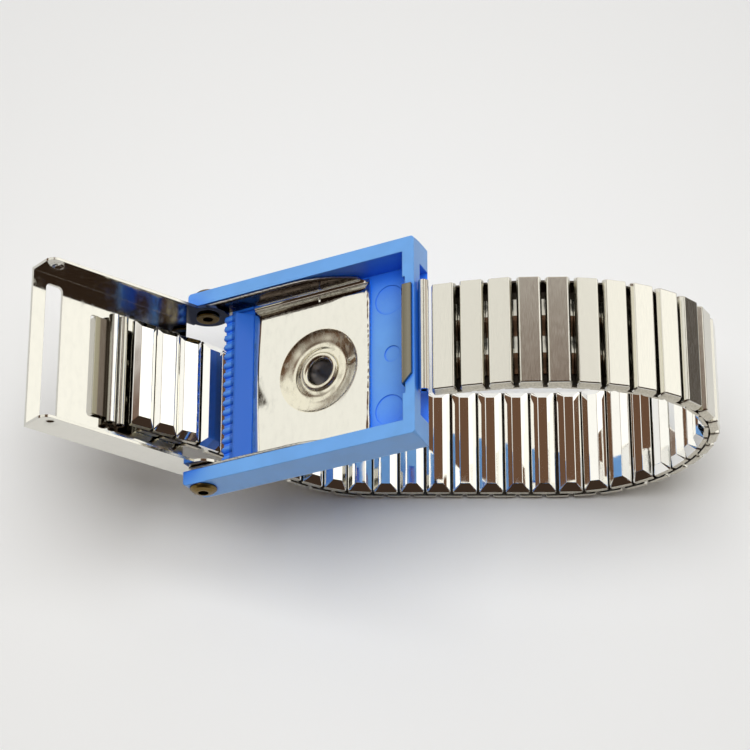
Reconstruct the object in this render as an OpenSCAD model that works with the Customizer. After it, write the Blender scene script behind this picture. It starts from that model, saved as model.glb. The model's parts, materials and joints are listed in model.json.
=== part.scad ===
// Wrist strap for static grounding: a moulded housing with a steel contact
// plate and a press stud, a hinged steel lid, and an expansion band whose tail
// hooks into the lid. All lengths are in millimetres, all angles in degrees.

/* [Housing] */
// Length of the housing along its floor
housing_len = 34.2; // [32:0.1:38]
// Width of the housing across the band
housing_w = 28; // [27:0.1:32]
// Height of the side walls from show face to rim
housing_h = 5.6; // [5.2:0.1:7]
// Thickness of the two long side walls
side_wall = 2.0; // [1.6:0.05:2.1]
// Thickness of the end wall that carries the band
end_wall = 1.7; // [1.2:0.05:2]
// Outward lean of the end wall from show face to rim
end_lean = 0.65; // [0:0.05:0.9]
// Thickness of the floor
floor_t = 1.4; // [1.3:0.05:1.6]
// Rise of the housing floor above the table
tilt = 30; // [24:0.5:34]

/* [Hinge] */
// Distance from the hinge end of the walls to the rivet axis
hinge_inset = 2.0; // [1.8:0.1:3]
// Depth of the rivet axis below the rim
hinge_depth = 1.9; // [1.8:0.05:2.3]
// Radius of the rivet shank
rivet_r = 1.05; // [0.9:0.05:1.2]
// Radius of the domed rivet head
rivet_head_r = 1.8; // [1.5:0.05:2]
// Running clearance of the lid ears on the rivets
pivot_gap = 0.05; // [0.03:0.01:0.08]

/* [Clamp bar] */
// Distance from the rivet axis to the bar
bar_start = 2.4; // [2.2:0.1:3]
// Length of the bar along the floor
bar_len = 3.7; // [3:0.1:3.8]
// Clearance at each end of the bar inside the lid's flanges
bar_play = 0.3; // [0.25:0.05:0.6]
// Number of gripping ribs
rib_count = 16; // [10:1:20]
// Radius of one rib
rib_r = 0.42; // [0.35:0.01:0.55]

/* [Contact plate] */
// Thickness of the plate
plate_t = 0.4; // [0.3:0.05:0.45]
// Distance from the rivet axis to the near edge of its floor
plate_start = 6.3; // [6.2:0.1:8]
// Distance from the rivet axis to its far edge
plate_end = 24.0; // [22:0.1:26]
// Distance from the rivet axis to the press stud
stud_at = 16.3; // [15:0.1:17]
// Radius of the stamped dish round the eyelet
dish_r = 5.85; // [5.2:0.05:6.2]
// Depth of the dish
dish_depth = 0.7; // [0.4:0.05:0.7]

/* [Press stud] */
// Radius of the stud head
stud_r = 5.0; // [4:0.05:5.4]
// Height of the stud above the show face
stud_h = 3.8; // [3.2:0.1:4.5]
// Radius of the hole through the eyelet
eyelet_hole_r = 1.75; // [1.4:0.05:2]

/* [Lid] */
// Distance from the rivet axis to the lid's far edge
lid_len = 26; // [25:0.1:27]
// Play between each lid flange and the contact plate
lid_play = 0.15; // [0.1:0.05:0.3]
// Thickness of the lid sheet
lid_t = 0.4; // [0.3:0.05:0.5]
// Distance from the rivet axis to the lid's outer face
lid_rise = 3.25; // [3.1:0.05:3.6]
// Height of the lid's flanges
lid_flange = 4.55; // [4:0.05:4.7]
// Angle between the housing floor and the open lid
lid_open = 111; // [95:1:112]

/* [Band] */
// Pitch of the links
link_pitch = 3.65; // [3.6:0.01:3.8]
// Width of the band
band_w = 15.2; // [13:0.1:17]
// Thickness of one shell layer
shell_h = 1.3; // [1.1:0.05:1.35]
// Thickness of the shell sheet
shell_t = 0.3; // [0.2:0.05:0.35]
// Gap between neighbouring mirror shells
mirror_gap = 0.32; // [0.3:0.02:0.5]
// Gap between neighbouring brushed shells
brushed_gap = 0.42; // [0.4:0.02:0.8]
// Heading of the first link above the table
loop_start = 15; // [10:1:18]

/* [Hidden] */
$fn = 64;
eps = 0.01;
seat = 0.02;                                 // gap between pieces that lie on each other

// Housing frame: x along the floor from the rivet axis, y across, z up to the rim.
rim_z = hinge_depth;
show_z = rim_z - housing_h;
floor_z = show_z + floor_t;
plate_low_z = floor_z + seat;                // the plate lies on the floor
plate_top_z = plate_low_z + plate_t;
wall_in = housing_w / 2 - side_wall;
near_x = -hinge_inset;
far_x = housing_len - hinge_inset;
end_in_x = far_x - end_wall;
corner_r = 1.0;                              // rounding of the outer edges
hinge_end_r = 2.2;                           // rounding of the walls at the hinge end

function lean(z) = end_lean * (z - show_z) / housing_h;

// Window in the end wall that the band's anchor hooks through
window_w = 2 * wall_in - 2.4;
window_top = rim_z - 2.1;
window_h = 2.8;
tongue_w = band_w - 1.2;                     // the hooks' tongues are narrower than the band
hook_t = 0.4;                                // sheet of the two end hooks
hook_gap = 0.06;                             // from a hook to what it hooks round
recess_half = tongue_w / 2 + 1.3;            // the hook's upright lies in a recess of the wall
recess_t = 0.35;
floor_slot = 0.45;                           // the recess runs out through the floor

// Ejector marks on the floor between the plate and the end wall
mark_x = (plate_end + end_in_x) / 2 - 0.45;
mark_r = 2.1;
mark_y = wall_in - mark_r - 2.0;
small_mark_r = 1.15;
mark_depth = 0.12;

// Contact plate
plate_out = wall_in - 0.05;
flange_top_z = rim_z - 0.15;
flange_ear_r = 2.0;
arc_start_x = 14;                            // the flanges start to drop here
arc_drop = flange_top_z - plate_top_z;
arc_run = plate_end - 0.6 - arc_start_x;
arc_r = (arc_run * arc_run + arc_drop * arc_drop) / (2 * arc_drop);
ring_h = 0.25;                               // raised ring in the dish
barrel_r = eyelet_hole_r + 0.35;

// Press stud
stud_low_z = show_z - stud_h;
stud_hollow = 1.2;                           // depth of the hollow in the stud's head

// Lid frame: the same as the housing frame when the lid is shut.
lid_out = plate_out - plate_t - lid_play;
lid_in = lid_out - lid_t;
lid_floor_z = lid_rise - lid_t;
lid_edge_z = lid_rise - lid_flange;
ear_r = 2.9;
floor_edge = 1.5;                            // the lid floor ends this far from the axis
slot_w = 2 * lid_out - 3.4;
slot_far = lid_len - 2.0;
slot_near = slot_far - 2.6;
tail_slot_near = 15.3;
tail_rise_x = tail_slot_near + 0.7;          // the tail hook rises through the lid here
tail_slot_far = tail_rise_x + hook_t + 0.5;
dimple_x = lid_len - 2.0;
dimple_z = 0.2;
dimple_r = 1.2;
bar_w = 2 * (lid_in - bar_play);

// Band layers lie either side of the pivot plane
layer_gap = 0.05;
band_half_t = layer_gap + shell_h;
brushed_len = band_w + 0.3;                  // the brushed shells reach past the mirror ones

// Tail of the band in the lid: pivot plane just under the lid floor
lid_angle = tilt + lid_open;
tail_z = lid_floor_z - 0.05 - band_half_t;
tail_x = 0.4;
tail_links = 3;

// Staples near the ends of each shell
staple_w = 0.9;
staple_y = band_w / 2 - shell_t - staple_w / 2 - 0.55;

// Route of the loop in the plane x, z: links bend down round the wrist, lie flat on
// the table, and rise to the lid. Turns are in degrees from one link to the next.
loop_turns = [5, 5, 5, 5, 6, 7, 9, 12, 15, 16, 16, 13, 10, 9, 10, 11, 12, 12, 10, 6, 1];
flat_links = 5;
rise_share = [0.2, 0.55, 0.85, 1, 1, 1, 1, 1];
loop_links = len(loop_turns) + 1;
rise_links = len(rise_share);
link_total = loop_links + flat_links + rise_links;

function sum_to(v, n, i = 0) = i >= n ? 0 : v[i] + sum_to(v, n, i + 1);
function along(a) = [cos(a), sin(a)];
function turn_by(a, x, z) = [x * cos(a) - z * sin(a), x * sin(a) + z * cos(a)];
function walk(angles, steps, n, i = 0) = i >= n ? [0, 0] :
    steps[i] * along(angles[i]) + walk(angles, steps, n, i + 1);
function same(value, n) = [for (i = [1:n]) value];
function rise_angles(a) = [for (s = rise_share) -180 - s * a];
function rise_by(a) = walk(rise_angles(a), same(link_pitch, rise_links), rise_links);

anchor_run = 3.0;                            // from the end wall to the first pivot
anchor_rise = 1.6;                           // and up from the show face
loop_from = turn_by(tilt, far_x + anchor_run, show_z + anchor_rise);
loop_to = turn_by(lid_angle, tail_x, tail_z);
loop_angles = [for (i = [0:loop_links - 1]) loop_start - sum_to(loop_turns, i)];
bend_end = loop_from + walk(loop_angles, same(link_pitch, loop_links), loop_links);

// The rise is as steep as it has to be to reach the lid, and the flat links share what is left.
function steepness(low, high, want, n = 0) = n > 40 ? (low + high) / 2 :
    rise_by((low + high) / 2)[1] < want ? steepness((low + high) / 2, high, want, n + 1) :
    steepness(low, (low + high) / 2, want, n + 1);
rise_angle = steepness(0, 90, loop_to[1] - bend_end[1]);
flat_step = (bend_end[0] + rise_by(rise_angle)[0] - loop_to[0]) / flat_links;
shell_pitch = min(link_pitch, flat_step);
mirror_w = shell_pitch - mirror_gap;
brushed_w = shell_pitch - brushed_gap;

headings = concat(loop_angles, same(-180, flat_links), rise_angles(rise_angle),
                  same(lid_angle - 360, tail_links));
steps = concat(same(link_pitch, loop_links), same(flat_step, flat_links),
               same(link_pitch, rise_links + tail_links));
function pivot(k) = loop_from + walk(headings, steps, k);
function half_turn(k) = k == 0 ? 0 : (headings[k - 1] - headings[k]) / 2;
function link_name(k) = str("link_", k < 10 ? "0" : "", k);

// The table touches the band's lowest shells, and the origin is midway along the part.
hinge_z = band_half_t - bend_end[1];
reach_x = max([for (k = [0:loop_links]) pivot(k)[0]]) + band_half_t;
far_lid = turn_by(lid_angle, lid_len, lid_rise)[0];
hinge_x = -(reach_x + far_lid) / 2;

steel_bright = [0.80, 0.79, 0.75];
steel_brushed = [0.74, 0.72, 0.67];
blue = [0.33, 0.60, 0.90];
brass = [0.55, 0.45, 0.20];

// --- placing and profile helpers ---------------------------------------------

module in_housing() {
    translate([hinge_x, 0, hinge_z]) rotate([0, -tilt, 0]) children();
}

module in_lid() {
    translate([hinge_x, 0, hinge_z]) rotate([0, -lid_angle, 0]) children();
}

module in_link(k) {
    p = pivot(k);
    translate([hinge_x + p[0], 0, hinge_z + p[1]]) rotate([0, -headings[k], 0]) children();
}

// Extrudes an x, z outline across the width w, centred on y = 0
module across(w) {
    rotate([90, 0, 0]) linear_extrude(w, center = true) children();
}

// Extrudes a y, z outline along x from x0 to x1
module lengthwise(x0, x1) {
    translate([x0, 0, 0]) rotate([90, 0, 90]) linear_extrude(x1 - x0) children();
}

// Rectangle from (x0, y0) to (x1, y1) with corners of radius r
module soft_box(x0, y0, x1, y1, r) {
    translate([x0 + r, y0]) square([x1 - x0 - 2 * r, y1 - y0]);
    translate([x0, y0 + r]) square([x1 - x0, y1 - y0 - 2 * r]);
    for (x = [x0 + r, x1 - r], y = [y0 + r, y1 - r]) translate([x, y]) circle(r);
}

// --- housing -----------------------------------------------------------------

module housing_outline() {
    intersection() {
        across(housing_w) union() {
            soft_box(near_x, show_z, far_x - corner_r, rim_z + 2 * corner_r, hinge_end_r);
            soft_box(0, show_z, far_x, rim_z, corner_r);
            polygon([[0, show_z + corner_r], [far_x, show_z + corner_r],
                     [far_x + end_lean, rim_z], [0, rim_z]]);
        }
        lengthwise(near_x - 1, far_x + 1)
            soft_box(-housing_w / 2, show_z, housing_w / 2, rim_z + 3 * corner_r, corner_r);
        translate([0, 0, show_z]) linear_extrude(housing_h)
            soft_box(near_x, -housing_w / 2, far_x + end_lean, housing_w / 2, 0.5);
    }
}

module clamp_bar() {
    bar_end = bar_start + bar_len;
    ridge_x = bar_start + 0.47 * bar_len;
    ridge_t = 0.35;
    crown_z = tail_z - band_half_t - 0.35;
    rib_pitch = (bar_w - 2 * rib_r) / (rib_count - 1);
    rib_drop = 0.3;
    sunk_z = show_z + floor_t / 2;
    across(bar_w) polygon([[bar_start, sunk_z], [bar_start, crown_z - rib_r - rib_drop],
                           [ridge_x, crown_z - rib_r], [ridge_x, crown_z],
                           [ridge_x + ridge_t, crown_z], [bar_end, plate_top_z],
                           [bar_end, sunk_z]]);
    for (i = [0:rib_count - 1])
        translate([0, -bar_w / 2 + rib_r + i * rib_pitch, 0]) intersection() {
            translate([ridge_x + eps, 0, crown_z - rib_r])
                rotate([0, -90 - atan(rib_drop / (ridge_x - bar_start)), 0])
                    cylinder(r = rib_r, h = 2 * bar_len, center = true, $fn = 24);
            translate([bar_start, -rib_r, sunk_z])
                cube([ridge_x + eps - bar_start, 2 * rib_r, crown_z - sunk_z]);
        }
}

module housing() {
    color(blue) in_housing() {
        difference() {
            housing_outline();
            across(2 * wall_in) polygon([
                [near_x - 1, floor_z], [end_in_x, floor_z],
                [end_in_x + lean(rim_z + 1), rim_z + 1], [near_x - 1, rim_z + 1]]);
            // open hinge end, where the band turns in
            translate([near_x - 1, -wall_in, show_z - 1])
                cube([bar_start - near_x + 1, 2 * wall_in, housing_h + 2]);
            // room for the dish of the plate and for the eyelet
            translate([stud_at, 0, floor_z - dish_depth - 0.05])
                cylinder(r = dish_r + 0.3, h = housing_h);
            translate([stud_at, 0, show_z - 1]) cylinder(r = barrel_r + 0.05, h = housing_h);
            // window, and the recess for the anchor's upright
            translate([end_in_x - 1, -window_w / 2, window_top - window_h])
                cube([end_wall + end_lean + 2, window_w, window_h]);
            across(2 * recess_half) polygon([
                [end_in_x - floor_slot, show_z - 1], [end_in_x + recess_t, show_z - 1],
                [end_in_x + recess_t, show_z],
                [end_in_x + recess_t + lean(rim_z + 1), rim_z + 1],
                [end_in_x - floor_slot, rim_z + 1]]);
            // rivet holes
            rotate([90, 0, 0]) cylinder(r = rivet_r + seat, h = housing_w + 1, center = true);
            // ejector marks on the bare strip
            for (y = [-mark_y, mark_y]) translate([mark_x, y, floor_z - mark_depth])
                cylinder(r = mark_r, h = 1);
            translate([mark_x + 0.4, 0, floor_z - mark_depth])
                cylinder(r = small_mark_r, h = 1);
        }
        clamp_bar();
    }
}

// --- contact plate, eyelet, stud and rivets -----------------------------------

module plate_flange() {
    past = flange_ear_r + 1;
    intersection() {
        union() {
            circle(flange_ear_r);
            translate([0, -flange_ear_r])
                square([plate_start + 1, flange_ear_r + flange_top_z]);
            translate([plate_start, plate_low_z])
                square([plate_end - plate_start, flange_top_z - plate_low_z]);
        }
        union() {
            translate([-past, -past]) square([past + arc_start_x, past + flange_top_z]);
            translate([arc_start_x, flange_top_z - arc_r]) circle(arc_r, $fn = 160);
        }
    }
}

module contact_plate() {
    dish_z = plate_top_z - dish_depth;
    ring_top_r = 3.1;
    ring_foot_r = 4.5;
    color(steel_bright) in_housing() difference() {
        union() {
            for (s = [-1, 1]) translate([0, s * (plate_out - plate_t / 2), 0])
                across(plate_t) plate_flange();
            translate([plate_start, -plate_out, plate_low_z])
                cube([plate_end - plate_start, 2 * plate_out, plate_t]);
            translate([stud_at, 0, dish_z - plate_t])
                cylinder(r = dish_r + 0.15, h = dish_depth + plate_t / 2);
        }
        // the dish, with its raised middle ring
        translate([stud_at, 0, 0]) rotate_extrude() polygon([
            [0, dish_z - 1], [barrel_r + seat, dish_z - 1], [barrel_r + seat, dish_z + ring_h],
            [ring_top_r, dish_z + ring_h], [ring_top_r + 0.4, dish_z + ring_h - 0.1],
            [ring_foot_r, dish_z], [dish_r - 0.55, dish_z], [dish_r, plate_top_z],
            [dish_r, plate_top_z + 1], [0, plate_top_z + 1]]);
        rotate([90, 0, 0]) cylinder(r = rivet_r + seat, h = housing_w, center = true);
    }
}

module snap_eyelet() {
    bead_r = 2.75;
    bead_z = plate_top_z - dish_depth + ring_h + seat;
    top_z = bead_z + 0.4;
    flare_z = stud_low_z + stud_hollow - seat;
    flare_r = barrel_r + 0.7;
    color(steel_bright) in_housing() translate([stud_at, 0, 0]) rotate_extrude() polygon([
        [eyelet_hole_r, flare_z - 0.35], [eyelet_hole_r, top_z - 0.12],
        [eyelet_hole_r + 0.12, top_z], [bead_r - 0.2, top_z], [bead_r, top_z - 0.2],
        [bead_r, bead_z], [barrel_r, bead_z], [barrel_r, flare_z], [flare_r, flare_z],
        [flare_r, flare_z - 0.25], [barrel_r, flare_z - 0.35]]);
}

module snap_stud() {
    base_r = 5.75;
    base_t = 0.5;
    base_z = show_z - seat;
    neck_r = stud_r - 0.45;
    wall = 0.45;
    hollow_r = barrel_r + 1.0;
    color(steel_bright) in_housing() translate([stud_at, 0, 0]) rotate_extrude() polygon([
        [barrel_r + seat, base_z], [base_r - 0.2, base_z], [base_r, base_z - 0.2],
        [base_r, base_z - base_t + 0.15], [base_r - 0.15, base_z - base_t],
        [neck_r, base_z - base_t], [neck_r, stud_low_z + 2.0], [stud_r, stud_low_z + 1.5],
        [stud_r, stud_low_z + 0.5], [stud_r - 0.5, stud_low_z], [hollow_r, stud_low_z],
        [hollow_r, stud_low_z + stud_hollow], [barrel_r + seat, stud_low_z + stud_hollow],
        [barrel_r + seat, stud_low_z + 2.0], [neck_r - wall, stud_low_z + 2.0],
        [neck_r - wall, base_z - base_t], [barrel_r + seat, base_z - base_t]]);
}

module one_rivet() {
    head_h = 0.7;
    out_y = housing_w / 2 + seat;
    in_y = lid_in - seat;
    flare_r = rivet_r + 0.5;
    bore_r = rivet_r - 0.35;
    rotate([-90, 0, 0]) rotate_extrude() difference() {
        union() {
            translate([0, in_y - 0.35]) square([rivet_r, out_y - in_y + 0.5]);
            translate([0, in_y - 0.35]) square([flare_r - 0.15, 0.3]);
            translate([flare_r - 0.15, in_y - 0.2]) circle(0.15, $fn = 24);
            polygon([[0, out_y], [rivet_head_r, out_y], [rivet_head_r, out_y + 0.2],
                     [rivet_head_r - 0.35, out_y + 0.5], [rivet_head_r - 0.9, out_y + head_h],
                     [0, out_y + head_h]]);
        }
        translate([-1, 0]) square([1 + bore_r, housing_w]);
    }
}

module hinge_rivets() {
    color(brass) in_housing() for (a = [0, 180]) rotate([0, 0, a]) one_rivet();
}

// --- band shells --------------------------------------------------------------

// Closed outline of a brushed shell, x across the band's run, z outward from the pivot plane
module brushed_section(w, h, lip) {
    polygon([[-w / 2, 0], [-w / 2, h - lip], [-w / 2 + lip, h], [w / 2 - lip, h],
             [w / 2, h - lip], [w / 2, 0]]);
}

// Bevelled roof-shaped outline of a mirror shell, standing on z = 0
module mirror_section(w, h, slope_w, lip) {
    polygon([[-w / 2, 0], [-w / 2, lip], [-w / 2 + slope_w, h], [w / 2 - slope_w, h],
             [w / 2, lip], [w / 2, 0]]);
}

// A sheet shell open below: one section runs along y, the other closes the ends
module brushed_shell() {
    lip = 0.35;
    half = brushed_len / 2;
    inner = half - shell_t;
    bend = 0.3;
    translate([0, 0, layer_gap]) difference() {
        intersection() {
            across(brushed_len + 1) brushed_section(brushed_w, shell_h, lip);
            lengthwise(-brushed_w, brushed_w) polygon([
                [-half, 0], [-half + bend, shell_h], [half - bend, shell_h], [half, 0]]);
        }
        intersection() {
            translate([0, 0, -eps]) across(brushed_len)
                brushed_section(brushed_w - 2 * shell_t, shell_h - shell_t + eps, lip);
            lengthwise(-brushed_w, brushed_w) polygon([
                [-inner, -1], [-inner, 0], [-inner + bend, shell_h], [inner - bend, shell_h],
                [inner, 0], [inner, -1]]);
        }
    }
}

module mirror_shell() {
    slope_w = 0.8;
    lip = shell_h - 0.5;
    half = band_w / 2;
    inner = half - shell_t;
    end_run = 1.1;
    end_lip = shell_h - 0.75;
    mirror([0, 0, 1]) translate([0, 0, layer_gap]) difference() {
        intersection() {
            across(band_w + 1) mirror_section(mirror_w, shell_h, slope_w, lip);
            lengthwise(-mirror_w, mirror_w) polygon([
                [-half, 0], [-half, end_lip], [-half + end_run, shell_h],
                [half - end_run, shell_h], [half, end_lip], [half, 0]]);
        }
        intersection() {
            translate([0, 0, -eps]) across(band_w) mirror_section(
                mirror_w - 2 * shell_t, shell_h - shell_t + eps, slope_w, lip - shell_t / 3);
            lengthwise(-mirror_w, mirror_w) polygon([
                [-inner, -1], [-inner, end_lip - shell_t / 3], [-inner + end_run, shell_h],
                [inner - end_run, shell_h], [inner, end_lip - shell_t / 3], [inner, -1]]);
        }
    }
}

// Staple that ties a brushed shell to its mirror shell: two legs joined at the top
module staple() {
    near = 0.6;
    far = 1.15;
    low = -0.6;
    top = 0.72;
    t = 0.18;
    across(staple_w) polygon([
        [near, low], [near, top], [far, top], [far, low], [far - t, low],
        [far - t, top - t], [near + t, top - t], [near + t, low]]);
}

// Waved leaf spring that lies in a mirror shell
module leaf_spring() {
    half = staple_y - 1.0;
    w = 1.1;
    t = 0.12;
    points = 16;
    high = -layer_gap - 0.12;
    low = -layer_gap - shell_h + shell_t + 0.06 + t;
    ys = [for (i = [0:points]) -half + 2 * half * i / points];
    function wave(y) = low + (high - low) * (0.5 - 0.5 * cos(720 * (y + half) / (2 * half)));
    lengthwise(-w / 2, w / 2) polygon(concat(
        [for (i = [0:points]) [ys[i], wave(ys[i])]],
        [for (i = [points:-1:0]) [ys[i], wave(ys[i]) - t]]));
}

module band_link(k) {
    in_link(k) {
        color(steel_brushed) rotate([0, -half_turn(k), 0]) {
            brushed_shell();
            for (s = [-1, 1]) translate([0, s * staple_y, 0]) staple();
        }
        color(steel_bright) translate([steps[k] / 2, 0, 0]) {
            mirror_shell();
            leaf_spring();
        }
    }
}

// --- band ends ----------------------------------------------------------------

// Ring of rolled sheet along y, centred on x, z
module roll(x, z, r) {
    across(brushed_len) translate([x, z]) difference() {
        circle(r, $fn = 32);
        circle(r - shell_t, $fn = 32);
    }
}

// Anchor: a hook of sheet round the top of the end wall, rolled at its outer end
module band_anchor() {
    under = window_top - hook_gap;
    low = under - hook_t;
    over = rim_z + hook_gap;
    top = over + hook_t;
    inside = end_in_x + recess_t - hook_gap;
    tip = far_x + lean(rim_z) - 0.25;
    cut = 1.2;                               // one corner of the top flap is cut off
    roll_r = 0.68;
    roll_z = rim_z - 1.5;
    roll_x = far_x + lean(roll_z) + hook_gap + roll_r;
    step = roll_z - roll_r + shell_t - under;  // the sheet steps up to the roll
    color(steel_brushed) in_housing() {
        difference() {
            across(tongue_w) polygon([
                [roll_x, under + step], [roll_x - 0.35, under + step], [roll_x - 0.6, under],
                [inside + lean(under), under], [inside + lean(over), over], [tip, over],
                [tip, top], [inside + lean(top) - hook_t + 0.25, top],
                [inside + lean(top) - hook_t, top - 0.25], [inside + lean(low) - hook_t, low],
                [roll_x - 0.6, low], [roll_x - 0.35, low + step], [roll_x, low + step]]);
            translate([tip, -tongue_w / 2, rim_z]) linear_extrude(1)
                polygon([[-cut, -1], [-cut, 0], [0, cut], [1, cut], [1, -1]]);
        }
        roll(roll_x, roll_z, roll_r);
    }
}

// Hook at the tail: two rolls and a tongue that goes through the lid and folds back
module tail_hook() {
    under = lid_floor_z - hook_gap;
    over = lid_rise + hook_gap;
    end_x = tail_x + tail_links * link_pitch;
    fold_run = 1.8;                          // the tongue lies back on the lid this far
    fold_x = tail_slot_near - fold_run;
    roll_r = 0.7;
    roll_x = end_x + 0.2 + roll_r;
    color(steel_brushed) in_lid() {
        across(tongue_w) polygon([
            [roll_x, under], [tail_rise_x, under], [tail_rise_x, over], [fold_x, over],
            [fold_x, over + hook_t], [tail_rise_x + hook_t, over + hook_t],
            [tail_rise_x + hook_t, under - hook_t], [roll_x, under - hook_t]]);
        roll(roll_x, under - roll_r, roll_r);
        roll(roll_x + 2 * roll_r + 0.05, under - roll_r, roll_r);
    }
}

// --- lid ------------------------------------------------------------------------

module lid_side() {
    difference() {
        union() {
            soft_box(0, lid_edge_z, lid_len, lid_rise + 2, 1.4);
            translate([0, lid_edge_z]) square([4, lid_rise - lid_edge_z]);
            circle(ear_r);
        }
        translate([-ear_r, lid_rise]) square([lid_len + 2 * ear_r, 3]);
    }
}

// Ball on one flange, cut off at the flange's middle so that only the outer cap stays
module dimple(side, r, y) {
    translate([dimple_x, side * y, dimple_z]) intersection() {
        sphere(r, $fn = 48);
        translate([-r, side > 0 ? lid_in - y - eps : y - lid_in + eps - 2 * r, -r])
            cube(2 * r);
    }
}

module lid() {
    color(steel_bright) in_lid() difference() {
        union() {
            for (s = [-1, 1]) translate([0, s * (lid_out - lid_t / 2), 0]) across(lid_t) lid_side();
            translate([floor_edge, -lid_out, lid_floor_z]) cube([lid_len - floor_edge, 2 * lid_out, lid_t]);
            for (s = [-1, 1]) dimple(s, dimple_r, lid_out - 0.8);
        }
        for (s = [-1, 1]) dimple(s, dimple_r - 0.3, lid_out - 0.85);
        rotate([90, 0, 0]) cylinder(r = rivet_r + pivot_gap, h = housing_w, center = true);
        translate([0, 0, lid_floor_z - 1]) linear_extrude(3) {
            soft_box(slot_near, -slot_w / 2, slot_far, slot_w / 2, 0.7);
            soft_box(tail_slot_near, -tongue_w / 2 - 0.3, tail_slot_far, tongue_w / 2 + 0.3, 0.5);
        }
    }
}

housing();
contact_plate();
snap_eyelet();
snap_stud();
hinge_rivets();
band_anchor();
lid();
tail_hook();
band_link(link_total);  // tail_link_1
band_link(link_total + 1);  // tail_link_2
band_link(link_total + 2);  // tail_link_3
for (k = [1:link_total])
    band_link(k - 1);
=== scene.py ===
import bpy, bmesh, json, math, random
from mathutils import Vector, Matrix

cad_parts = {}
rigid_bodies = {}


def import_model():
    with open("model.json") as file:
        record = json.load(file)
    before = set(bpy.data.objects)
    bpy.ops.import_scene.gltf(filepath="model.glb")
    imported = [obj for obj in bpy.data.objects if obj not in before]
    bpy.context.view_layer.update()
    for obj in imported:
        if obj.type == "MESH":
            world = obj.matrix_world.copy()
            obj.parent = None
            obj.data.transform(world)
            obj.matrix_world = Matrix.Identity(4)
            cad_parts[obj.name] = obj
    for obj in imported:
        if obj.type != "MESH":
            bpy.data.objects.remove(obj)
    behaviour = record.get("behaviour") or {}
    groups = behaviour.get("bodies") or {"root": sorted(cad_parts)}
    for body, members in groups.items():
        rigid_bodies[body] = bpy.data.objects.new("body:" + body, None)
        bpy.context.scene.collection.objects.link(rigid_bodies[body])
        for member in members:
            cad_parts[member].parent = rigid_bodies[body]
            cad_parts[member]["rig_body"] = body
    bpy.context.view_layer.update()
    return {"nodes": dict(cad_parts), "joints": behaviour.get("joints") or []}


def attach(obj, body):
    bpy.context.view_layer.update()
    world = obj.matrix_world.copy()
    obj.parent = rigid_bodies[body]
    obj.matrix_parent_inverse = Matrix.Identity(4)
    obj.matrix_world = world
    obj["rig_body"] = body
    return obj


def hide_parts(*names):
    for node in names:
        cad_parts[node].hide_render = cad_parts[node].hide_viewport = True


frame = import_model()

nodes = frame["nodes"]
mm = 0.001  # the dictionaries give lengths in millimetres and colours as linear values
hingePos = Vector(next(j for j in frame["joints"] if j["name"] == "lid_hinge")["pos_m"])
traySlope = 30  # degrees that the housing leans


def add(tree, kind, inputs=None, **props):
    node = tree.nodes.new(kind)
    for key, value in props.items():
        setattr(node, key, value)
    for key, value in (inputs or {}).items():
        socket = node.inputs[key]
        if isinstance(value, bpy.types.NodeSocket):
            tree.links.new(value, socket)
        elif socket.type == "RGBA":
            socket.default_value = (*value, 1)
        else:
            socket.default_value = value
    return node


def calc(tree, operation, *values):
    return add(tree, "ShaderNodeMath", dict(enumerate(values)), operation=operation).outputs[0]


def step(tree, value, start, end, low=0.0, high=1.0, kind="SMOOTHSTEP"):
    inputs = {0: value, 1: start, 2: end, 3: low, 4: high}
    return add(tree, "ShaderNodeMapRange", inputs, interpolation_type=kind).outputs[0]


def blendColour(tree, factor, first, second):
    node = tree.nodes.new("ShaderNodeMix")
    node.data_type = "RGBA"
    for slot, value in ((0, factor), (6, first), (7, second)):
        if isinstance(value, bpy.types.NodeSocket):
            tree.links.new(value, node.inputs[slot])
        else:
            node.inputs[slot].default_value = (*value, 1) if isinstance(value, tuple) else value
    return node.outputs[2]


def ramp(tree, value, stops):
    first, last = stops[0][0], stops[-1][0]
    node = add(tree, "ShaderNodeValToRGB", {0: step(tree, value, first, last, kind="LINEAR")})
    points = node.color_ramp.elements
    for k, (at, colour) in enumerate(stops):
        spot = (at - first) / (last - first)
        if 0 < k < len(stops) - 1:
            point = points.new(spot)
        else:
            point = points[0 if k == 0 else -1]
        point.position = spot
        point.color = (*colour, 1)
    return node.outputs[0]


def scaled(values, factor):
    return tuple(value * factor for value in values)


def material(name, look, metallic=1.0):
    mat = bpy.data.materials.new(name)
    mat.use_nodes = True
    tree = mat.node_tree
    shader = tree.nodes["Principled BSDF"]
    shader.inputs["Base Color"].default_value = (*look["colour"], 1)
    shader.inputs["Metallic"].default_value = metallic
    shader.inputs["Roughness"].default_value = look["roughness"]
    return mat, tree, shader


def placed(tree, scale, attribute=None):
    if attribute:
        source = add(tree, "ShaderNodeAttribute", attribute_name=attribute).outputs["Vector"]
    else:
        source = add(tree, "ShaderNodeTexCoord").outputs["Object"]
    return add(tree, "ShaderNodeMapping", {"Vector": source, "Scale": scale}).outputs[0]


def axesInMm(tree):
    return add(tree, "ShaderNodeSeparateXYZ", {0: placed(tree, (1 / mm, 1 / mm, 1 / mm))}).outputs


def noise(tree, vector, scale, detail=2.0, rough=0.5):
    inputs = {"Vector": vector, "Scale": scale, "Detail": detail, "Roughness": rough}
    return add(tree, "ShaderNodeTexNoise", inputs).outputs["Fac"]


def bump(tree, height, strength, depth, normal=None):
    inputs = {"Height": height, "Strength": strength, "Distance": depth * mm}
    node = add(tree, "ShaderNodeBump", inputs)
    if normal is not None:
        tree.links.new(normal, node.inputs["Normal"])
    return node.outputs[0]


def softEdge(tree, radius):
    return add(tree, "ShaderNodeBevel", {"Radius": radius * mm}, samples=6).outputs[0]


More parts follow.
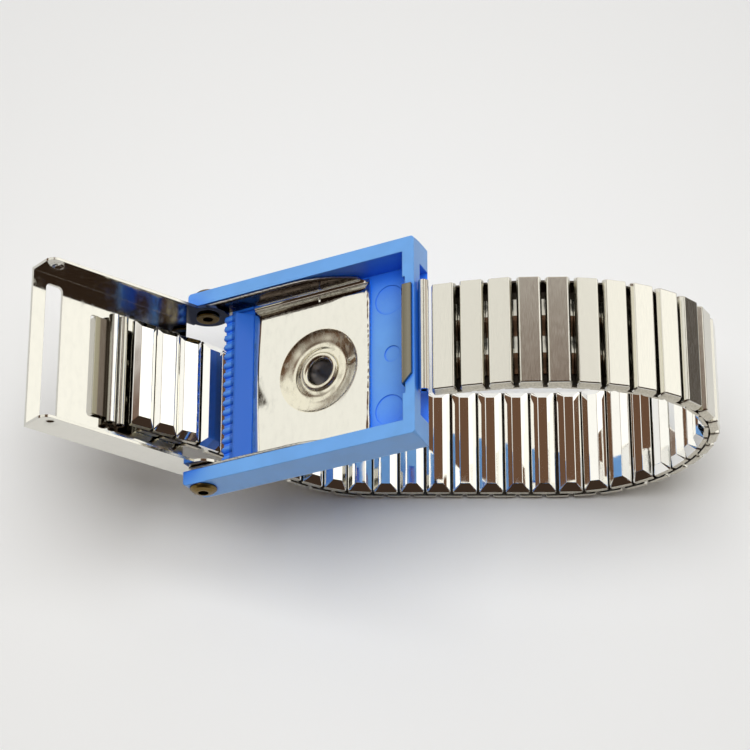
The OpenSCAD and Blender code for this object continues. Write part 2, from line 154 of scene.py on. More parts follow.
def makeMirror(name, look, place=None):
    mat, tree, shader = material(name, look)
    size = 1.0 if place else 1 / mm  # a stored place is in millimetres already
    where = placed(tree, scaled((1, 0.45, 1), size), place)
    base = softEdge(tree, look["edge"]) if "edge" in look else None
    wavy = bump(tree, noise(tree, where, 0.42, 1.0), 0.10 * look["wave"], 0.10, base)
    scuffs = noise(tree, placed(tree, scaled((14, 2.2, 14), size), place), 1.0, 3.0)
    tree.links.new(bump(tree, scuffs, 0.10, 0.0022, wavy), shader.inputs["Normal"])
    smudge = noise(tree, where, 1.3, 4.0, 0.6)
    rough = look["roughness"]
    tree.links.new(step(tree, smudge, 0.45, 0.75, rough, rough * 2.6), shader.inputs["Roughness"])
    dull = scaled(look["colour"], 0.97)
    tint = blendColour(tree, step(tree, smudge, 0.3, 0.8), look["colour"], dull)
    if "shade" in look:  # painted shade: the lid's end by the hinge is coloured dark navy
        shade = look["shade"]
        axes = axesInMm(tree)
        behind = step(tree, axes[1], *shade["y"])
        shaded = calc(tree, "MULTIPLY", behind, step(tree, axes[0], *shade["x"]))
        tint = blendColour(tree, shaded, tint, shade["colour"])
    tree.links.new(tint, shader.inputs["Base Color"])
    return mat


def makeBrushed(name, look, place=None):
    mat, tree, shader = material(name, look)
    size = 1.0 if place else 1 / mm
    lines = noise(tree, placed(tree, scaled((22, 0.7, 22), size), place), 1.0, 4.0, 0.65)
    cloud = noise(tree, placed(tree, scaled((0.9, 0.35, 0.9), size), place), 1.0, 2.0)
    wavy = bump(tree, cloud, 0.06, 0.12)
    tree.links.new(bump(tree, lines, 0.55, 0.0030, wavy), shader.inputs["Normal"])
    rough = look["roughness"]
    uneven = step(tree, lines, 0.2, 0.8, rough * 0.75, rough * 1.3)
    tree.links.new(uneven, shader.inputs["Roughness"])
    if "tone" in look:  # painted highlights, reflections and shade along X, for bends too fine for the mesh
        tone = ramp(tree, axesInMm(tree)[0], look["tone"])
        streak = step(tree, lines, 0.25, 0.75, 0.0, 0.25)
        tone = blendColour(tree, streak, tone, scaled(look["colour"], 0.5))
    else:
        streak = step(tree, lines, 0.25, 0.75)
        tone = blendColour(tree, streak, scaled(look["colour"], 0.90), look["colour"])
    tree.links.new(tone, shader.inputs["Base Color"])
    return mat


def makeMatte(name, look, place=None):
    mat, tree, shader = material(name, look)
    size = 5.0 if place else 5.0 / mm
    grit = noise(tree, placed(tree, (size, size, size), place), 1.0, 4.0, 0.7)
    tree.links.new(bump(tree, grit, 0.5, 0.012), shader.inputs["Normal"])
    dull = scaled(look["colour"], 0.7)
    tone = blendColour(tree, step(tree, grit, 0.3, 0.7), dull, look["colour"])
    tree.links.new(tone, shader.inputs["Base Color"])
    return mat


def makePlastic(name, look):
    mat, tree, shader = material(name, look, 0.0)
    cloud = noise(tree, placed(tree, (260, 260, 260)), 1.0, 2.0)
    grain = noise(tree, placed(tree, (9000, 9000, 9000)), 1.0, 2.0)
    wavy = bump(tree, cloud, 0.25, 0.05, softEdge(tree, look["edge"]))
    tree.links.new(bump(tree, grain, 0.18, 0.006, wavy), shader.inputs["Normal"])
    patches = step(tree, cloud, 0.3, 0.7)
    pale = tuple(min(1.0, c) for c in scaled(look["colour"], 1.05))
    tone = blendColour(tree, patches, scaled(look["colour"], 0.96), pale)
    # painted shade: ambient occlusion blends recesses towards a deeper blue
    reach = {"Distance": look["reach"] * mm}
    openness = add(tree, "ShaderNodeAmbientOcclusion", reach, samples=6).outputs["AO"]
    tone = blendColour(tree, step(tree, openness, *look["open"]), look["paintedRecessShade"], tone)

    # painted shade: the clamp bar's slope is coloured a darker blue
    bar, fade = look["bar"], 0.1
    left, right = bar["x"]
    axes = axesInMm(tree)
    pastLeft = step(tree, axes[0], left - fade, left + fade)
    beforeRight = step(tree, axes[0], right - fade, right + fade, 1.0, 0.0)
    across = calc(tree, "MULTIPLY", pastLeft, beforeRight)
    middle = calc(tree, "ABSOLUTE", axes[1])
    along = step(tree, middle, bar["half"] - fade, bar["half"] + fade, 1.0, 0.0)
    tone = blendColour(tree, calc(tree, "MULTIPLY", across, along), tone, bar["colour"])
    tree.links.new(tone, shader.inputs["Base Color"])
    rough = look["roughness"]
    uneven = step(tree, cloud, 0.3, 0.7, rough * 0.9, rough * 1.12)
    tree.links.new(uneven, shader.inputs["Roughness"])
    return mat


housing = {"colour": (0.180, 0.455, 0.960), "roughness": 0.34, "edge": 0.18,
           "paintedRecessShade": (0.024, 0.200, 0.980), "reach": 9.0, "open": (0.50, 0.99),  # painted shade: a deeper blue in recesses
           # painted shade: the bar colour darkens the clamp bar's slope
           "bar": {"colour": (0.030, 0.150, 0.640), "x": (-19.4, -16.5), "half": 11.0}}
lid = {"colour": (0.745, 0.73, 0.67), "roughness": 0.06, "wave": 0.55, "edge": 0.06,
       # painted shade: this colour darkens the lid's back ear by the hinge
       "shade": {"colour": (0.030, 0.045, 0.105), "x": (-26.6, -25.0), "y": (2.0, 7.0)}}
rivets = {"colour": (0.21, 0.14, 0.045), "roughness": 0.28}
turned = {"colour": (0.62, 0.60, 0.53), "roughness": 0.16}
# painted highlights, reflections and shade: bands along X across the anchor's bends
anchor = {**turned, "tone": (
    (3.14, (0.45, 0.37, 0.27)), (3.32, (0.15, 0.135, 0.095)), (4.0, (0.25, 0.23, 0.175)),
    (4.5, (0.17, 0.155, 0.11)), (4.66, (0.9, 0.88, 0.82)), (4.9, (0.5, 0.46, 0.36)),
    (5.3, (0.55, 0.48, 0.36)), (5.5, (0.84, 0.82, 0.75)), (6.15, (0.76, 0.74, 0.66)),
    (6.32, (0.25, 0.18, 0.13)), (6.5, (0.8, 0.78, 0.72)))}
# painted highlights, reflections and shade: bands along X across the hook's roll and slot
tailHook = {**turned, "tone": (
    (-37.81, (0.74, 0.72, 0.65)), (-37.05, (0.72, 0.69, 0.6)), (-36.9, (0.28, 0.26, 0.18)),
    (-36.45, (0.25, 0.22, 0.15)), (-36.3, (0.11, 0.083, 0.062)), (-35.45, (0.10, 0.075, 0.058)),
    (-35.3, (0.34, 0.32, 0.27)), (-34.75, (0.42, 0.40, 0.35)), (-34.62, (1.0, 0.99, 0.95)),
    (-34.12, (1.0, 0.99, 0.95)), (-34.0, (0.08, 0.07, 0.06)), (-33.86, (0.95, 0.93, 0.87)),
    (-33.5, (0.9, 0.88, 0.8)), (-33.38, (0.07, 0.06, 0.05)), (-33.22, (0.72, 0.69, 0.6)),
    (-32.95, (0.62, 0.59, 0.5)), (-32.87, (0.06, 0.05, 0.04)))}

blue = makePlastic("bluePlastic", housing)
coats = {"housing": blue, "hinge_rivets": makeMatte("brass", rivets),
         "lid": makeMirror("lidSteel", lid), "band_anchor": makeBrushed("anchorSteel", anchor),
         "tail_hook": makeBrushed("hookSteel", tailHook)}
rolled = makeBrushed("rolledSteel", turned)
for name, obj in nodes.items():
    obj.data.materials.clear()
    obj.data.materials.append(coats.get(name, rolled))
    for face in obj.data.polygons:
        face.use_smooth = True
    obj.data.set_sharp_from_angle(angle=math.radians(30))
print("pieces", len(nodes))


def newPiece(name, mesh, looks, node):
    for look in looks:
        mesh.materials.append(look)
    obj = bpy.data.objects.new(name, mesh)
    bpy.context.scene.collection.objects.link(obj)
    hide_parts(node)
    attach(obj, nodes[node]["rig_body"])
    return obj


def toMesh(bm, name):
    mesh = bpy.data.meshes.new(name)
    bm.to_mesh(mesh)
    bm.free()
    return mesh


def smooth(mesh):
    for face in mesh.polygons:
        face.use_smooth = True


def roundRing(a, b, corner, sideZ, endZ, count=4):
    ring = []
    for sx, sy, start in ((1, 1, 0), (-1, 1, 90), (-1, -1, 180), (1, -1, 270)):
        for i in range(count + 1):
            t = math.radians(start + 90 * i / count)
            x = sx * (a - corner) + corner * math.cos(t)
            y = sy * (b - corner) + corner * math.sin(t)
            ring.append((x, y, sideZ + (endZ - sideZ) * math.sin(t) ** 2))
    return ring


def loft(bm, rings, place, layer, looks, flip=False):
    rows = []
    for ring in rings:
        row = []
        for p in ring:
            v = bm.verts.new(place @ (Vector(p) * mm))
            v[layer] = Vector(p)
            row.append(v)
        rows.append(row)
    for k, (lower, upper) in enumerate(zip(rows, rows[1:])):
        for i in range(len(lower)):
            j = (i + 1) % len(lower)
            quad = (lower[i], lower[j], upper[j], upper[i])
            face = bm.faces.new(quad[::-1] if flip else quad)
            here, there = rings[k][i], rings[k][j]
            atEnd = abs(here[1] - there[1]) < abs(here[0] - there[0]) * 1.2
            face.material_index = looks(k, atEnd)
    top = bm.faces.new(rows[-1][::-1] if flip else rows[-1])
    top.material_index = looks(len(rows) - 1, False)
    return rows


link = {"brushed": {"colour": (0.80, 0.78, 0.71), "roughness": 0.17},
        "mirror": {"colour": (0.99, 0.98, 0.94), "roughness": 0.03, "wave": 1.0},
        "matte": {"colour": (0.70, 0.655, 0.55), "roughness": 0.36},
        # painted shade: the inner coat darkens the shells' hollows and cut rims
        "inner": {"colour": (0.16, 0.14, 0.115), "roughness": 0.5},
        "spring": {"colour": (0.62, 0.60, 0.54), "roughness": 0.2},
        "sheet": 0.26, "hollowCorner": (0.15, 0.12, 0.08),
        # the brushed shell's bends, as inset and drop, from the top down
        "side": ((0.38, 0.0), (0.29, 0.03), (0.22, 0.10), (0.18, 0.20), (0.0, 0.62)),
        "end": ((0.42, 0.0), (0.35, 0.03), (0.29, 0.09), (0.24, 0.20), (0.0, 0.86)),
        "corner": (0.05, 0.36), "waist": (0.35, 0.25), "taper": (0.18, 0.4), "under": 0.05,
        # the mirror shell's bevels
        "facet": 37.0, "slope": 1.02, "endSlope": 1.12, "endLip": 0.56, "bevelCorner": 0.28,
        "lowBend": ((0, 0.05, -0.07, -0.06), (0.02, 0.08, -0.02, -0.01),
                    (0.07, 0.15, 0.035, 0.05)),
        "highBend": ((-0.06, -0.07, 0.06, -0.032, -0.04), (-0.02, -0.03, 0.05, -0.009, -0.012),
                     (0.04, 0.03, 0.04, 0, 0)),
        "endTaper": 0.05, "lipShare": 0.4, "topShare": 0.3,
        # degrees of lean, and changes to single links
        "lean": {"link_03": -5.0, "link_05": -4.0},
        "leanMirror": {"tail_link_1": -9.0, "tail_link_2": -7.5, "tail_link_3": -3.5,
                       "link_34": -3.5, "link_20": 6.0},
        "narrowFacet": {"tail_link_3": 0.75, "tail_link_2": 0.65, "tail_link_1": 0.65},
        "trim": {"tail_link_1": 0.5},  # leaves room at the pivot by the hinge
        "asBuilt": ("link_35",)}  # keeps the solid's mirror shell, for the same room
linkCoats = (makeBrushed("brushedSteel", link["brushed"], "place"),
             makeMirror("mirrorSteel", link["mirror"], "place"),
             makeMatte("matteSteel", link["matte"], "place"),
             makeMatte("innerSteel", link["inner"], "place"),
             makeBrushed("springSteel", link["spring"], "place"))
onBrushed, onMirror, onMatte, onInner, onSpring = range(5)


def shell(bm, layer, place, outer, hollow, looks):
    rows = loft(bm, outer, place, layer, looks)
    # painted shade: the hollow and its rim take the dark inner coat
    inside = loft(bm, hollow, place, layer, lambda k, atEnd: onInner, flip=True)
    for i in range(len(rows[0])):
        j = (i + 1) % len(rows[0])
        rim = bm.faces.new((rows[0][j], rows[0][i], inside[0][i], inside[0][j]))
        rim.material_index = onInner


def brushedRings(w, l, h):
    (sharp, wide), t = link["corner"], link["sheet"]
    sideWaist, endWaist = link["waist"]
    rings = [roundRing(w / 2, l / 2, wide, 0, 0),
             roundRing(w / 2, l / 2, wide, h * sideWaist, h * endWaist)]
    last = len(link["side"]) - 1
    for k in range(last, -1, -1):
        (dx, sz), (dy, ez) = link["side"][k], link["end"][k]
        corner = sharp + (wide - sharp) * (k / last) ** 1.5
        rings.append(roundRing(w / 2 - dx, l / 2 - dy, corner, h - sz, h - ez))
    (sideTaper, endTaper), (foot, crown, _) = link["taper"], link["hollowCorner"]
    under = h - t - link["under"]
    hollow = [roundRing(w / 2 - t, l / 2 - t, foot, 0, 0),
              roundRing(w / 2 - t - sideTaper, l / 2 - t - endTaper, crown, under, under)]
    return rings, hollow


def mirrorRings(w, l, h, narrow):
    slope, end, corner = link["slope"] * narrow, link["endLip"], link["bevelCorner"]
    endSlope, t = link["endSlope"], link["sheet"]
    side = h - slope * math.tan(math.radians(link["facet"]))
    a, b = w / 2 - slope, l / 2 - endSlope
    rings = [roundRing(w / 2, l / 2, corner, 0, 0)]
    for dx, dy, sz, ez in link["lowBend"]:
        rings.append(roundRing(w / 2 - dx, l / 2 - dy, corner, side + sz, end + ez))
    for dx, dy, tight, sz, ez in link["highBend"]:
        rings.append(roundRing(a - dx, b - dy, tight, h + sz, h + ez))
    foot, bend, crown = link["hollowCorner"]
    lip, top = t * link["lipShare"], t * link["topShare"]
    hollow = [roundRing(w / 2 - t, l / 2 - t, foot, 0, 0),
              roundRing(w / 2 - t, l / 2 - t - link["endTaper"], bend, side - lip, end - lip),
              roundRing(a - top, b - top, crown, h - t, h - t)]
    return rings, hollow


def islands(mesh):
    bm = bmesh.new()
    bm.from_mesh(mesh)
    bmesh.ops.remove_doubles(bm, verts=bm.verts, dist=1e-7)
    left, found = dict.fromkeys(bm.verts), []
    while left:
        stack, group = [next(iter(left))], {}
        while stack:
            v = stack.pop()
            if v in group:
                continue
            group[v] = None
            del left[v]
            stack.extend(e.other_vert(v) for e in v.link_edges)
        found.append(group)
    return bm, found


def axesOf(group):
    pts = [v.co for v in group]
    cx = sum(p.x for p in pts) / len(pts)
    cz = sum(p.z for p in pts) / len(pts)
    sxx = sum((p.x - cx) ** 2 for p in pts)
    szz = sum((p.z - cz) ** 2 for p in pts)
    sxz = sum((p.x - cx) * (p.z - cz) for p in pts)
    angle = 0.5 * math.atan2(2 * sxz, sxx - szz)
    return Vector((cx, 0, cz)), Vector((math.cos(angle), 0, math.sin(angle)))


def frameOf(group, outward):
    centre, run = axesOf(group)
    up = Vector((-run.z, 0, run.x))
    if up.dot(outward) < 0:
        up, run = -up, -run
    xs = [(v.co - centre).dot(run) for v in group]
    zs = [(v.co - centre).dot(up) for v in group]
    origin = centre + run * (max(xs) + min(xs)) / 2 + up * min(zs)
    across = up.cross(run)
    place = Matrix(((run.x, across.x, up.x, origin.x), (run.y, across.y, up.y, origin.y),
                    (run.z, across.z, up.z, origin.z), (0, 0, 0, 1)))
    width, height = (max(xs) - min(xs)) / mm, (max(zs) - min(zs)) / mm
    return place, width, height, 2 * max(v.co.y for v in group) / mm


def turnedAbout(degrees, axis):
    return Matrix.Rotation(math.radians(degrees), 4, axis)


def leaned(place, degrees, rng):
    tip = turnedAbout(rng.uniform(-0.35, 0.35), "Y") @ turnedAbout(rng.uniform(-0.12, 0.12), "Z")
    if degrees:
        spot = Matrix.Translation(place.translation)
        place = spot @ turnedAbout(degrees, "Y") @ spot.inverted() @ place
    return place @ tip


def copyGroup(bm, layer, group, coat):
    copies = {}
    for v in group:
        copies[v] = bm.verts.new(v.co)
        copies[v][layer] = v.co / mm
    for face in dict.fromkeys(f for v in group for f in v.link_faces):
        bm.faces.new([copies[v] for v in face.verts]).material_index = coat


def buildLink(name, index):
    rng = random.Random(index * 7 + 3)
    source, groups = islands(nodes[name].data)
    groups.sort(key=lambda g: -max(v.co.y for v in g))
    brushedShell, mirrorShell, small = groups[0], groups[1], groups[2:]
    outward = axesOf(brushedShell)[0] - axesOf(mirrorShell)[0]
    bm = bmesh.new()
    layer = bm.verts.layers.float_vector.new("place")

    place, w, h, l = frameOf(brushedShell, outward)
    spare = link["trim"].get(name, 0.0)
    if spare:
        towards = 1 if (hingePos - place.translation).dot(place.to_3x3().col[0]) > 0 else -1
        place = place @ Matrix.Translation(Vector((-towards * spare / 2 * mm, 0, 0)))
    place = leaned(place, link["lean"].get(name, 0.0), rng)
    shell(bm, layer, place, *brushedRings(w - spare, l, h),
          lambda k, atEnd: onMatte if atEnd and k < 3 else onBrushed)

    for group in small:
        copyGroup(bm, layer, group, onSpring)
    if name in link["asBuilt"]:
        copyGroup(bm, layer, mirrorShell, onMirror)
    else:
        place, w, h, l = frameOf(mirrorShell, -outward)
        place = leaned(place, link["leanMirror"].get(name, 0.0), rng)
        shell(bm, layer, place, *mirrorRings(w, l, h, link["narrowFacet"].get(name, 1.0)),
              lambda k, atEnd: onMatte if atEnd and k < 2 else onMirror)

    shift = Vector((index * 5.3, index * 2.1, index * 3.7))  # no two links share their grain
    for v in bm.verts:
        v[layer] = v[layer] + shift
    bmesh.ops.recalc_face_normals(bm, faces=bm.faces)
    source.free()
    newPiece(name + "Shells", toMesh(bm, name + "Shells"), linkCoats, name)


linkNames = sorted(n for n in nodes if "link" in n)
for index, name in enumerate(linkNames):
    buildLink(name, index)
print("links", len(linkNames))


# The tray's own frame: x along the floor from the hinge, y across, z up from the hinge's axis.
slopeCos, slopeSin = math.cos(math.radians(traySlope)), math.sin(math.radians(traySlope))
tray = Matrix.Translation(hingePos) @ Matrix((
    (slopeCos, 0, -slopeSin, 0), (0, 1, 0, 0), (slopeSin, 0, slopeCos, 0), (0, 0, 0, 1)))


def curveAt(points, r):
    for (r1, z1), (r0, z0) in zip(points, points[1:]):
        if r0 <= r <= r1:
            return z0 + (z1 - z0) * (r - r0) / (r1 - r0)
    return 0.0


plate = {"sheetLook": {"colour": (0.85, 0.835, 0.765), "roughness": 0.06, "wave": 0.55,
                       "edge": 0.06},
         "dishLook": {"colour": (0.86, 0.82, 0.68), "roughness": 0.19, "wave": 0.3},
         # painted reflection: the flange wall is coloured dark brown, for the dark it mirrors
         "flangeLook": {"colour": (0.15, 0.11, 0.085), "roughness": 0.16, "wave": 0.3},
         "edgeLook": {"colour": (0.86, 0.84, 0.79), "roughness": 0.3},
         "out": 11.95, "sheet": 0.4, "start": 6.3, "end": 24.0, "top": -1.88, "bend": 0.62,
         "stud": 16.3, "ragged": 0.05, "cut": (-0.05, 0.03), "seed": 11,
         "flange": 1.75, "drop": (14.0, 23.4), "ear": 2.0,
         # stations of the arms: the first, the step and how many; pitch is the step behind them
         "arm": (-1.98, 0.22, 38), "pitch": 0.2, "bendSteps": 6, "wallSteps": 5,
         "spokes": 240, "outside": (0.2, 0.4, 0.6, 0.8, 1.0),
         # radius and depth from the rim inwards
         "dish": ((5.95, 0.0), (5.88, -0.012), (5.80, -0.06), (5.70, -0.125), (5.55, -0.195),
                  (5.35, -0.27), (5.10, -0.355), (4.85, -0.435), (4.60, -0.51), (4.40, -0.575),
                  (4.25, -0.63), (4.10, -0.675), (3.95, -0.70), (3.80, -0.70), (3.65, -0.675),
                  (3.50, -0.625), (3.35, -0.565), (3.20, -0.515), (3.05, -0.485),
                  (2.90, -0.475), (2.2, -0.47)),
         "crease": {"at": (4.85, 0.45), "half": (0.55, 0.30), "rise": 0.10},
         "squint": {"much": 0.15, "towards": 150, "from": 3.3, "to": 4.2}}
plateCoats = (makeMirror("sheetSteel", plate["sheetLook"]),
              makeMatte("shearedEdge", plate["edgeLook"]),
              makeMirror("dishSteel", plate["dishLook"]),
              makeMirror("flangeSteel", plate["flangeLook"]))
onSheet, onDish, onFlange = 0, 2, 3  # a cut edge takes the next coat in the list


def dishDepth(x, y, r, angle):
    squint, crease = plate["squint"], plate["crease"]
    share = max(0.0, min(1.0, (r - squint["from"]) / (squint["to"] - squint["from"])))
    uneven = squint["much"] * share * math.cos(angle - math.radians(squint["towards"]))
    z = plate["top"] + curveAt(plate["dish"], r) * (1 + uneven)
    (ax, ay), (halfX, halfY) = crease["at"], crease["half"]
    return z + crease["rise"] * math.exp(-((x - ax) / halfX) ** 4 - ((y - ay) / halfY) ** 2)


def plateFloor(bm, flat, rng):
    cx, rim = plate["stud"], plate["dish"][0][0]
    left, right = plate["start"] - cx, plate["end"] - cx
    corners = [math.atan2(y, x) for x in (left, right) for y in (-flat, flat)]
    turn = 360 / plate["spokes"]
    angles = sorted([math.radians(i * turn) - math.pi for i in range(plate["spokes"])] + corners)
    circles = [r for r, z in plate["dish"]][::-1]
    tiny, far = 1e-6, 1e9
    columns = []
    for a in angles:
        c, s = math.cos(a), math.sin(a)
        reachX = (right if c > 0 else left) / c if abs(c) > tiny else far
        reachY = (flat if s > 0 else -flat) / s if abs(s) > tiny else far
        reach = min(reachX, reachY)
        column = []
        for r in circles + [rim + (reach - rim) * share for share in plate["outside"]]:
            x, y = r * c, r * s
            z = dishDepth(x, y, r, a)
            if r >= reach - tiny and (x < left + 0.01 or x > right - 0.01):
                x += rng.uniform(*plate["cut"])  # the ends are cut, not quite straight
            column.append(bm.verts.new((x + cx, y, z)))
        columns.append(column)
    for i, column in enumerate(columns):
        after = columns[(i + 1) % len(columns)]
        for k in range(len(column) - 1):
            face = bm.faces.new((column[k], column[k + 1], after[k + 1], after[k]))
            face.material_index = onDish if k < len(circles) - 1 else onSheet


def plateFlange(bm, flat, side, rng):
    top, bend, ear, start = plate["top"], plate["bend"], plate["ear"], plate["start"]
    wall = side * (plate["out"] - plate["sheet"])
    curveStart, curveEnd = plate["drop"]
    drop = plate["flange"] - top
    radius = ((curveEnd - curveStart) ** 2 + drop ** 2) / (2 * drop)
    (first, armStep, count), pitch = plate["arm"], plate["pitch"]
    bendSteps, wallSteps, close = plate["bendSteps"], plate["wallSteps"], 0.01
    stations = [first + armStep * i for i in range(count)] + [start - close, start + close]
    count = int((plate["end"] - start - pitch) / pitch) + 1
    stations += [start + pitch + pitch * i for i in range(count)]
    rows = []
    for x in sorted(stations):
        if x > plate["end"] + 0.001:
            continue
        high = plate["flange"]
        if x >= curveStart:
            high += math.sqrt(max(0, radius ** 2 - (x - curveStart) ** 2)) - radius
        if x < 0:
            high = min(high, math.sqrt(max(0.0, ear ** 2 - x * x)))
        if x > 1:
            high = max(high + rng.uniform(-plate["ragged"], plate["ragged"]), top + 0.02)
        if x >= start:  # the bend up from the floor
            turns = [math.radians(90 * i / bendSteps) for i in range(bendSteps + 1)]
            row = [(x, side * (flat + bend * math.sin(a)), min(top + bend - bend * math.cos(a), high))
                   for a in turns]
            foot = top + bend
        else:  # the arm to the hinge
            low = -math.sqrt(max(0.0, ear ** 2 - x * x)) if x < 0 else -ear
            foot = min(top + bend, high)
            row = [(x, wall, low + (foot - low) * i / bendSteps) for i in range(bendSteps + 1)]
        row += [(x, wall, foot + (high - foot) * i / wallSteps if high > foot else high)
                for i in range(1, wallSteps + 1)]
        rows.append([bm.verts.new(p) for p in row])
    for first, second in zip(rows, rows[1:]):
        for k in range(len(first) - 1):
            quad = (first[k], second[k], second[k + 1], first[k + 1])
            face = bm.faces.new(quad if side > 0 else quad[::-1])
            # painted reflection: the wall above the bend takes the dark brown flange coat
            face.material_index = onFlange if k >= bendSteps else onSheet


def buildPlate():
    rng = random.Random(plate["seed"])
    flat = plate["out"] - plate["sheet"] - plate["bend"]
    bm = bmesh.new()
    plateFloor(bm, flat, rng)
    for side in (-1, 1):
        plateFlange(bm, flat, side, rng)
    bmesh.ops.remove_doubles(bm, verts=bm.verts, dist=0.004)
    bmesh.ops.dissolve_degenerate(bm, edges=bm.edges, dist=0.002)
    for v in bm.verts:
        v.co = tray @ (v.co * mm)
    mesh = toMesh(bm, "contactPlateSheet")
    obj = newPiece("contactPlateSheet", mesh, (*plateCoats, plateCoats[1]), "contact_plate")
    smooth(mesh)
    thick = obj.modifiers.new("sheet", "SOLIDIFY")
    thick.thickness = plate["sheet"] * mm
    thick.offset = -1
    thick.material_offset_rim = 1
    mesh.set_sharp_from_angle(angle=math.radians(40))


buildPlate()


# painted shade: the bore colour darkens the inside of the eyelet
eyelet = {"bore": {"colour": (0.20, 0.165, 0.14), "roughness": 0.32}, "sides": 72,
          # radius and height, up the bore, over the rolled lip and down to the stud
          "turned": ((1.75, -6.67), (1.75, -2.75), (1.76, -2.50), (1.80, -2.30), (1.89, -2.14),
                     (2.02, -2.02), (2.20, -1.94), (2.38, -1.93), (2.54, -1.97), (2.67, -2.06),
                     (2.75, -2.18), (2.77, -2.31), (2.60, -2.36), (2.30, -2.36), (2.10, -2.50),
                     (2.10, -6.25), (2.30, -6.32), (2.70, -6.36), (2.80, -6.45), (2.70, -6.56),
                     (2.40, -6.64))}
boreCoat = makeMatte("bore", eyelet["bore"])


def buildEyelet():
    place = tray @ Matrix.Translation(Vector((plate["stud"], 0, 0)) * mm)
    profile = eyelet["turned"]
    bm = bmesh.new()
    rows = []
    for i in range(eyelet["sides"]):
        a = math.radians(360 * i / eyelet["sides"])
        rows.append([bm.verts.new(place @ (Vector((r * math.cos(a), r * math.sin(a), z)) * mm))
                     for r, z in profile])
    for first, second in zip(rows, rows[1:] + rows[:1]):
        for k in range(len(profile)):
            j = (k + 1) % len(profile)
            face = bm.faces.new((first[k], first[j], second[j], second[k]))
            face.material_index = 1 if k < 2 else 0  # painted shade: the bore is coloured dark
    bmesh.ops.recalc_face_normals(bm, faces=bm.faces)
    mesh = toMesh(bm, "eyeletTurned")
    newPiece("eyeletTurned", mesh, (plateCoats[onDish], boreCoat), "snap_eyelet")
    smooth(mesh)


buildEyelet()


clampRibs = {"count": 16, "radius": 0.46, "from": 2.05, "to": 4.35, "ridge": (2.4, 4.14),
             "drop": 0.3, "widen": 1.1, "blunt": 3.2, "rings": 10, "sides": 12,
             "bar": (2.3, 6.2), "within": 11.4}  # where the housing's clamp bar stands


def buildRibs():
    part = clampRibs
    own = [tray.inverted() @ v.co / mm for v in nodes["housing"].data.vertices]
    start, end = part["bar"]
    bar = [p for p in own if start < p.x < end and abs(p.y) < part["within"]]
    crown = max(p.z for p in bar)
    half = max(abs(p.y) for p in bar if p.z > crown - 0.01)
    near, far = part["ridge"]
    r, sides = part["radius"], part["sides"]
    turns = [math.radians(360 * n / sides) for n in range(sides)]
    bm = bmesh.new()
    for i in range(part["count"]):
        middle = -half + r + i * 2 * (half - r) / (part["count"] - 1)
        rows = []
        for k in range(part["rings"] + 1):
            share = 0.5 - 0.5 * math.cos(math.pi * k / part["rings"])
            x = part["from"] + (part["to"] - part["from"]) * share
            swell = max(0.04, (1 - abs(2 * share - 1) ** part["blunt"]) ** 0.5)
            axis = crown - r - part["drop"] * max(0.0, min(1.0, (far - x) / (far - near)))
            across, high = part["widen"] * r * swell, r * swell
            points = [(x, middle + across * math.cos(t), axis + high * math.sin(t)) for t in turns]
            rows.append([bm.verts.new(tray @ (Vector(p) * mm)) for p in points])
        for first, second in zip(rows, rows[1:]):
            for k in range(sides):
                j = (k + 1) % sides
                bm.faces.new((first[k], first[j], second[j], second[k]))
        bm.faces.new(rows[0][::-1])
        bm.faces.new(rows[-1])
    bmesh.ops.recalc_face_normals(bm, faces=bm.faces)
    mesh = toMesh(bm, "clampRibPillows")
    smooth(mesh)
    newPiece("clampRibPillows", mesh, (blue,), "housing")
    newPiece("housingBody", nodes["housing"].data.copy(), (), "housing")


buildRibs()
print("plate, eyelet and ribs done")


view = {"lens": 144, "sensor": 36, "offset": (0.0225, -0.1682, 0.3812), "down": 64.8}
cam = bpy.data.cameras.new("camera")
cam.lens = view["lens"]
cam.sensor_width = view["sensor"]
cam.clip_start = 0.01
camObj = bpy.data.objects.new("camera", cam)
bpy.context.scene.collection.objects.link(camObj)
fromHinge, y, z = view["offset"]
camObj.location = (hingePos.x + fromHinge, y, z)
camObj.rotation_euler = (math.radians(90 - view["down"]), 0, 0)
bpy.context.scene.camera = camObj

lamps = {"keyLamp": {"at": (-0.30, 0.62, 0.74), "size": 0.5, "power": 0.40,
                     "colour": (1.0, 0.99, 0.97)},
         "topLamp": {"at": (0.01, 0.05, 1.15), "size": 0.80, "power": 10.2,
                     "colour": (0.965, 0.99, 0.995)}}
for name, look in lamps.items():
    lamp = bpy.data.lights.new(name, "AREA")
    lamp.shape = "SQUARE"
    lamp.size = look["size"]
    lamp.energy = look["power"]
    lamp.color = look["colour"]
    lampObj = bpy.data.objects.new(name, lamp)
    bpy.context.scene.collection.objects.link(lampObj)
    lampObj.location = look["at"]
    lampObj.rotation_euler = (-Vector(look["at"])).to_track_quat("-Z", "Y").to_euler()
    lampObj.visible_glossy = False
    lampObj.visible_camera = False
print("camera and lamps done")


# Lengths of the table and the room are in metres.
# painted light: the near colour makes the paper paler around the object, fading out over fade
paper = {"colour": (0.885, 0.885, 0.885), "near": (0.985, 0.98, 0.975), "fade": (0.03, 0.12),
         "roughness": 0.85, "edge": (0.10, 0.17), "far": (0.30, 1.2), "gloss": 0.15}
room = {"bright": (1.0, 0.99, 0.94), "left": 1.0, "right": 1.28, "spill": 0.34,
        "dark": (0.135, 0.072, 0.042), "front": (0.040, 0.025, 0.017),
        "backdrop": (0.83, 0.83, 0.82),
        "horizon": ((-0.02, 0.015), (-0.2, 0.2)), "window": ((-0.84, -0.78), (0.31, 0.36)),
        "rise": (0.05, 0.12), "fall": (0.872, 0.895), "open": (-0.16, 0.02),
        "frontToBack": (-0.5, 0.1), "leftToRight": (0.1, 0.7)}

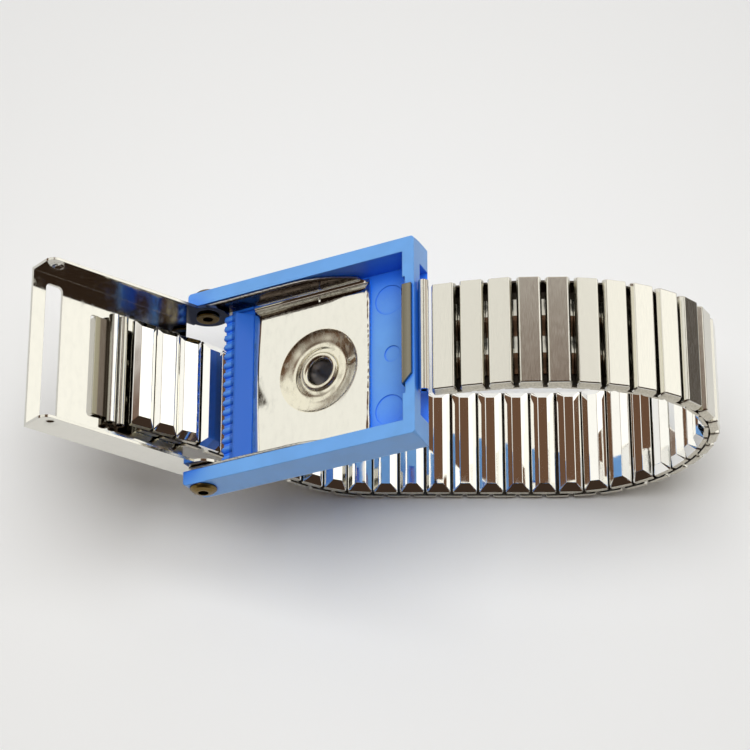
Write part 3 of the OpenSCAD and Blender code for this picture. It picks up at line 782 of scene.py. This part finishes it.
bpy.ops.mesh.primitive_plane_add(size=6)
floor = bpy.context.active_object
floor.name = "floor"
mat, tree, shader = material("paper", paper, 0.0)
rays = add(tree, "ShaderNodeLightPath").outputs
spot = add(tree, "ShaderNodeTexCoord").outputs["Object"]
across = add(tree, "ShaderNodeSeparateXYZ", {0: spot}).outputs[0]
reach = add(tree, "ShaderNodeVectorMath", {0: spot}, operation="LENGTH").outputs["Value"]
# painted light: the paper is paler near the object, lifting the shadow around it
pale = blendColour(tree, step(tree, reach, *paper["fade"]), paper["near"], paper["colour"])
beyond = step(tree, across, *paper["edge"])  # metal mirrors a darker room past the table's right
mirrored = calc(tree, "MULTIPLY", beyond, rays["Is Glossy Ray"])
tree.links.new(blendColour(tree, mirrored, pale, room["front"]), shader.inputs["Base Color"])
shader.inputs["Specular IOR Level"].default_value = paper["gloss"]
haze = add(tree, "ShaderNodeEmission", {"Color": room["backdrop"], "Strength": 1.0})
distant = calc(tree, "MULTIPLY", step(tree, reach, *paper["far"]), rays["Is Camera Ray"])
faded = add(tree, "ShaderNodeMixShader", {0: distant, 1: shader.outputs[0], 2: haze.outputs[0]})
tree.links.new(faded.outputs[0], tree.nodes["Material Output"].inputs["Surface"])
floor.data.materials.append(mat)

world = bpy.data.worlds.new("room")
bpy.context.scene.world = world
world.use_nodes = True
tree = world.node_tree
towards = add(tree, "ShaderNodeTexCoord").outputs["Generated"]
axes = add(tree, "ShaderNodeSeparateXYZ", {0: towards}).outputs
rays = add(tree, "ShaderNodeLightPath").outputs
(lowZ, rightX), (leftX, highZ) = room["horizon"], room["window"]
horizon = calc(tree, "MULTIPLY", step(tree, axes[2], *lowZ), step(tree, axes[0], *rightX))
window = calc(tree, "MAXIMUM", step(tree, axes[0], *leftX), step(tree, axes[2], *highZ))
window = calc(tree, "MULTIPLY", window, step(tree, axes[2], *room["rise"]))
bright = calc(tree, "MAXIMUM", horizon, window)
bright = calc(tree, "MULTIPLY", bright, step(tree, axes[2], *room["fall"], 1.0, 0.0))
bright = calc(tree, "MULTIPLY", bright, step(tree, axes[1], *room["open"]))
shade = blendColour(tree, step(tree, axes[1], *room["frontToBack"]), room["front"], room["dark"])
sideLevel = step(tree, axes[0], *room["leftToRight"], room["left"], room["right"])
rayLevel = step(tree, rays["Is Glossy Ray"], 0.0, 1.0, room["spill"], 1.0)
level = calc(tree, "MULTIPLY", sideLevel, rayLevel)
lit = add(tree, "ShaderNodeVectorMath", {0: room["bright"], "Scale": level}, operation="SCALE")
env = tree.nodes["Background"]
tree.links.new(blendColour(tree, bright, shade, lit.outputs[0]), env.inputs["Color"])
env.inputs["Strength"].default_value = 1.0
seen = add(tree, "ShaderNodeBackground", {"Color": room["backdrop"], "Strength": 1.0})
shown = {0: rays["Is Camera Ray"], 1: env.outputs[0], 2: seen.outputs[0]}
both = add(tree, "ShaderNodeMixShader", shown)
tree.links.new(both.outputs[0], tree.nodes["World Output"].inputs["Surface"])
print("table and room done")

bpy.context.scene.view_settings.view_transform = "Standard"
